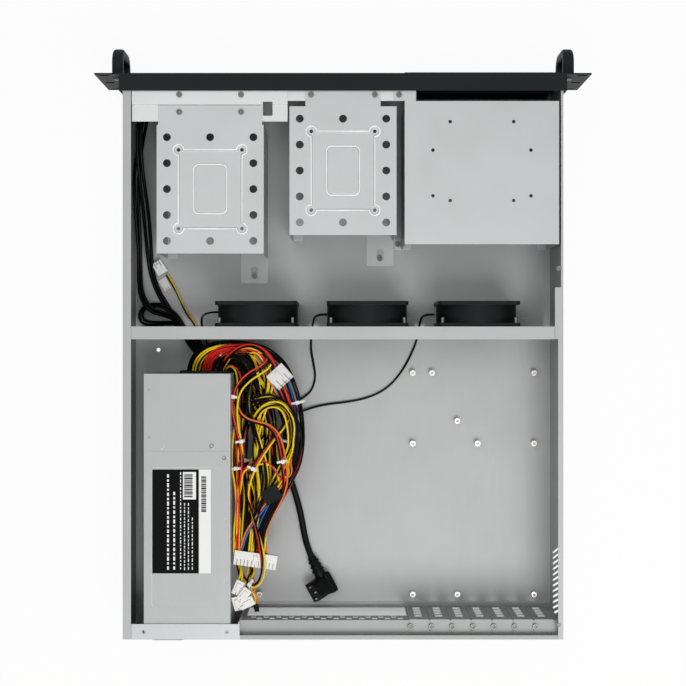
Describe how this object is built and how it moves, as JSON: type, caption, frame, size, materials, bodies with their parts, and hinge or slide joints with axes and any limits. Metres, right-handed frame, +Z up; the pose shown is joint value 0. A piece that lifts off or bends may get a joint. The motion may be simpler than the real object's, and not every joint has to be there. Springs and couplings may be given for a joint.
{
  "type": "rackmount server case",
  "caption": "Open rackmount server case with rack ears, drive cages, a fan wall, slide-in power supply modules, board posts, expansion slot covers and its wiring harness.",
  "frame": {"origin": "middle of the floor's underside, halfway along the body's depth", "axes": "the front panel faces -Y, +X is the power supply's side, +Z is up"},
  "size_m": [0.4826, 0.5805, 0.088],
  "materials": {
    "steel_sheet": "zinc-coated sheet, satin",
    "module_metal": "bare case, satin",
    "black_paint": "fine textured paint",
    "black_plastic": "moulded",
    "latch_plastic": "moulded",
    "circuit_board": "solder mask",
    "socket_metal": "plated",
    "screw_metal": "plated",
    "black_rubber": "smooth",
    "lead_jacket": "smooth",
    "wire_jacket": "many colours",
    "white_nylon": "moulded"
  },
  "bodies": {
    "chassis": {"ac_cord": "black_rubber", "ac_plug": "black_rubber", "atx_connector": "white_nylon", "base_pan": "steel_sheet", "bay_cage": "steel_sheet", "bay_cover_lower": "black_plastic", "bay_cover_upper": "black_plastic", "board_standoffs": "screw_metal", "chassis_screws": "screw_metal", "control_board": "circuit_board", "drive_connectors": "white_nylon", "eps_connectors": "white_nylon", "fan_frame_1": "black_plastic", "fan_frame_2": "black_plastic", "fan_frame_3": "black_plastic", "fan_lead_1": "lead_jacket", "fan_lead_2": "lead_jacket", "fan_lead_3": "lead_jacket", "fan_wall": "steel_sheet", "front_cable_1": "black_rubber", "front_cable_2": "black_rubber", "front_frame": "steel_sheet", "front_panel": "black_paint", "handle_left": "black_paint", "handle_right": "black_paint", "harness": "wire_jacket", "hdd_cage_bracket": "steel_sheet", "hdd_cage_left": "steel_sheet", "hdd_cage_middle": "steel_sheet", "psu_backplane": "circuit_board", "psu_cage": "steel_sheet", "psu_grommet": "black_plastic", "psu_top_front": "steel_sheet", "psu_top_rear": "steel_sheet", "rear_panel": "steel_sheet", "sensor_lead": "lead_jacket", "slot_cover_1": "steel_sheet", "slot_cover_2": "steel_sheet", "slot_cover_3": "steel_sheet", "slot_cover_4": "steel_sheet", "slot_cover_5": "steel_sheet", "slot_cover_6": "steel_sheet", "slot_cover_7": "steel_sheet", "supply_bay": "steel_sheet", "usb_ports": "socket_metal"},
    "fan_1": {"fan_rotor_1": "black_plastic"},
    "fan_2": {"fan_rotor_2": "black_plastic"},
    "fan_3": {"fan_rotor_3": "black_plastic"},
    "module_1": {"psu_module_1": "module_metal", "psu_inlet_1": "black_plastic", "psu_handle_1": "black_plastic"},
    "module_2": {"psu_module_2": "module_metal", "psu_inlet_2": "black_plastic", "psu_handle_2": "black_plastic"},
    "latch_1": {"psu_latch_1": "latch_plastic"},
    "latch_2": {"psu_latch_2": "latch_plastic"},
    "module_fan_1": {"psu_rotor_1": "black_plastic"},
    "module_fan_2": {"psu_rotor_2": "black_plastic"},
    "power_button": {"power_button": "black_plastic"},
    "reset_button": {"reset_button": "black_plastic"}
  },
  "joints": [
    {"name": "fan_1_spin", "type": "hinge", "parent": "chassis", "child": "fan_1", "pos_m": [0.085, -0.0415, 0.043], "axis": [0, 1, 0], "continuous": true},
    {"name": "fan_2_spin", "type": "hinge", "parent": "chassis", "child": "fan_2", "pos_m": [-0.024, -0.0415, 0.043], "axis": [0, 1, 0], "continuous": true},
    {"name": "fan_3_spin", "type": "hinge", "parent": "chassis", "child": "fan_3", "pos_m": [-0.133, -0.0415, 0.043], "axis": [0, 1, 0], "continuous": true},
    {"name": "module_1_slide", "type": "slide", "parent": "chassis", "child": "module_1", "axis": [0, 1, 0], "range_m": [0, 0.2]},
    {"name": "latch_1_swing", "type": "hinge", "parent": "module_1", "child": "latch_1", "pos_m": [0.1461, 0.2599, 0.0216], "axis": [0, 0, -1], "range_deg": [0, 12], "stiffness_Nm_per_rad": 0.3},
    {"name": "module_fan_1_spin", "type": "hinge", "parent": "module_1", "child": "module_fan_1", "pos_m": [0.1706, 0.2455, 0.0216], "axis": [0, 1, 0], "continuous": true},
    {"name": "module_2_slide", "type": "slide", "parent": "chassis", "child": "module_2", "axis": [0, 1, 0], "range_m": [0, 0.2]},
    {"name": "latch_2_swing", "type": "hinge", "parent": "module_2", "child": "latch_2", "pos_m": [0.1461, 0.2599, 0.0626], "axis": [0, 0, -1], "range_deg": [0, 12], "stiffness_Nm_per_rad": 0.3},
    {"name": "module_fan_2_spin", "type": "hinge", "parent": "module_2", "child": "module_fan_2", "pos_m": [0.1706, 0.2455, 0.0626], "axis": [0, 1, 0], "continuous": true},
    {"name": "power_button_press", "type": "slide", "parent": "chassis", "child": "power_button", "axis": [0, 1, 0], "range_m": [0, 0.002], "stiffness_N_per_m": 500},
    {"name": "reset_button_press", "type": "slide", "parent": "chassis", "child": "reset_button", "axis": [0, 1, 0], "range_m": [0, 0.002], "stiffness_N_per_m": 500}
  ]
}
